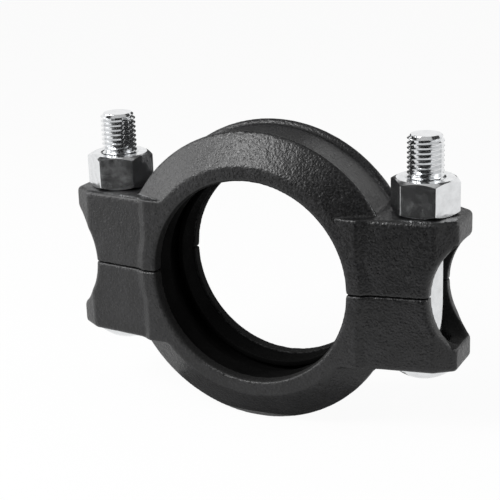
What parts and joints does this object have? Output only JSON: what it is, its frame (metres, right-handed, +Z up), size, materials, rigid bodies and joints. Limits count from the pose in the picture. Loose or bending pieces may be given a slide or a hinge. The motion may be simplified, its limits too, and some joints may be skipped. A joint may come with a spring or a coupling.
{
  "type": "rigid pipe coupling",
  "caption": "Bolted split coupling for grooved steel pipe: cast iron halves with keys, rubber gasket, oval-neck track bolts and heavy hex nuts.",
  "frame": {"origin": "centre of the pipe bore, on the pipe's axis and half way along the coupling", "axes": "+Y along the pipe, +X from the left bolt to the right bolt across the pipe, +Z up along the bolts, with the nuts on top"},
  "size_m": [0.2212, 0.054, 0.161],
  "materials": {
    "painted_casting": "black paint over a sand-cast surface",
    "gasket_rubber": "moulded, matt",
    "plated_steel": "bright zinc plating"
  },
  "bodies": {
    "lower_assembly": {"lower_housing": "painted_casting", "gasket": "gasket_rubber", "left_bolt": "plated_steel", "right_bolt": "plated_steel"},
    "upper_half": {"upper_housing": "painted_casting"},
    "left_nut_body": {"left_nut": "plated_steel"},
    "right_nut_body": {"right_nut": "plated_steel"}
  },
  "joints": [
    {"name": "housing_lift", "type": "slide", "parent": "lower_assembly", "child": "upper_half", "axis": [0, 0, 1], "range_m": [0, 0.02]},
    {"name": "left_nut_spin", "type": "hinge", "parent": "upper_half", "child": "left_nut_body", "pos_m": [-0.08901, 0, 0.0403], "axis": [0, 0, 1], "range_deg": [0, 2840]},
    {"name": "right_nut_spin", "type": "hinge", "parent": "upper_half", "child": "right_nut_body", "pos_m": [0.08901, 0, 0.0403], "axis": [0, 0, 1], "range_deg": [0, 2840]}
  ],
  "couplings": [
    {"joint": "left_nut_spin", "follows": "housing_lift", "rad_per_m": 2473.7},
    {"joint": "right_nut_spin", "follows": "housing_lift", "rad_per_m": 2473.7}
  ]
}
